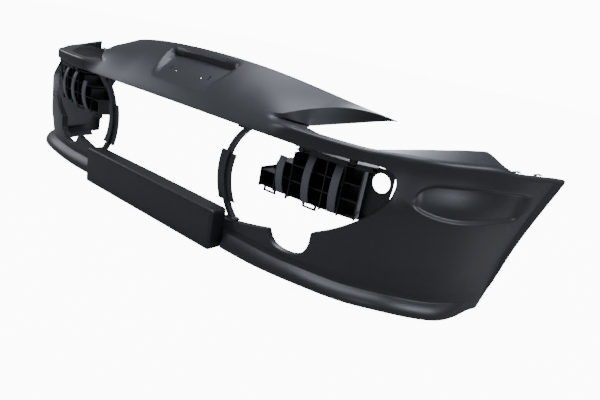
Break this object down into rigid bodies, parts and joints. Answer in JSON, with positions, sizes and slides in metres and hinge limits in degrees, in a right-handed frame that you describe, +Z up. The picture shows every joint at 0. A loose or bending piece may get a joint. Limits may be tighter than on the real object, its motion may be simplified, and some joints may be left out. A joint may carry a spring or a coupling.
{
  "type": "bumper cover",
  "caption": "Front bumper cover of a compact car with number plate plinth, mouth struts, corner brackets and push rivets.",
  "frame": {"origin": "bottom centre of the bounding box: centre plane, lowest edge, half the depth", "axes": "front faces -Y, the car's left-hand wing is at +X, +Z up"},
  "size_m": [1.715, 0.53, 0.432],
  "materials": {
    "cover": "satin black moulded",
    "plinth": "satin black",
    "strut": "dark grey moulded",
    "bracket": "fine grained black",
    "band": "grey moulded",
    "rivet": "black nylon",
    "screw": "zinc plated",
    "spring_nut": "zinc plated"
  },
  "bodies": {
    "cover": {"bumper_skin": "cover", "plate_plinth": "plinth", "plinth_screws": "screw", "mouth_strut_right": "strut", "mouth_strut_left": "strut", "strut_screws": "screw", "corner_bracket_right": "bracket", "corner_bracket_left": "bracket", "bracket_bands_right": "band", "bracket_bands_left": "band", "rivet_bodies": "rivet", "wing_spring_nuts": "spring_nut"},
    "pin_1": {"rivet_pin_1": "rivet"},
    "pin_2": {"rivet_pin_2": "rivet"},
    "pin_3": {"rivet_pin_3": "rivet"},
    "pin_4": {"rivet_pin_4": "rivet"}
  },
  "joints": [
    {"name": "pin_1_slide", "type": "slide", "parent": "cover", "child": "pin_1", "axis": [0, 0, -1], "range_m": [0, 0.009]},
    {"name": "pin_2_slide", "type": "slide", "parent": "cover", "child": "pin_2", "axis": [0, 0, -1], "range_m": [0, 0.009]},
    {"name": "pin_3_slide", "type": "slide", "parent": "cover", "child": "pin_3", "axis": [0, 0, -1], "range_m": [0, 0.009]},
    {"name": "pin_4_slide", "type": "slide", "parent": "cover", "child": "pin_4", "axis": [0, 0, -1], "range_m": [0, 0.009]}
  ]
}
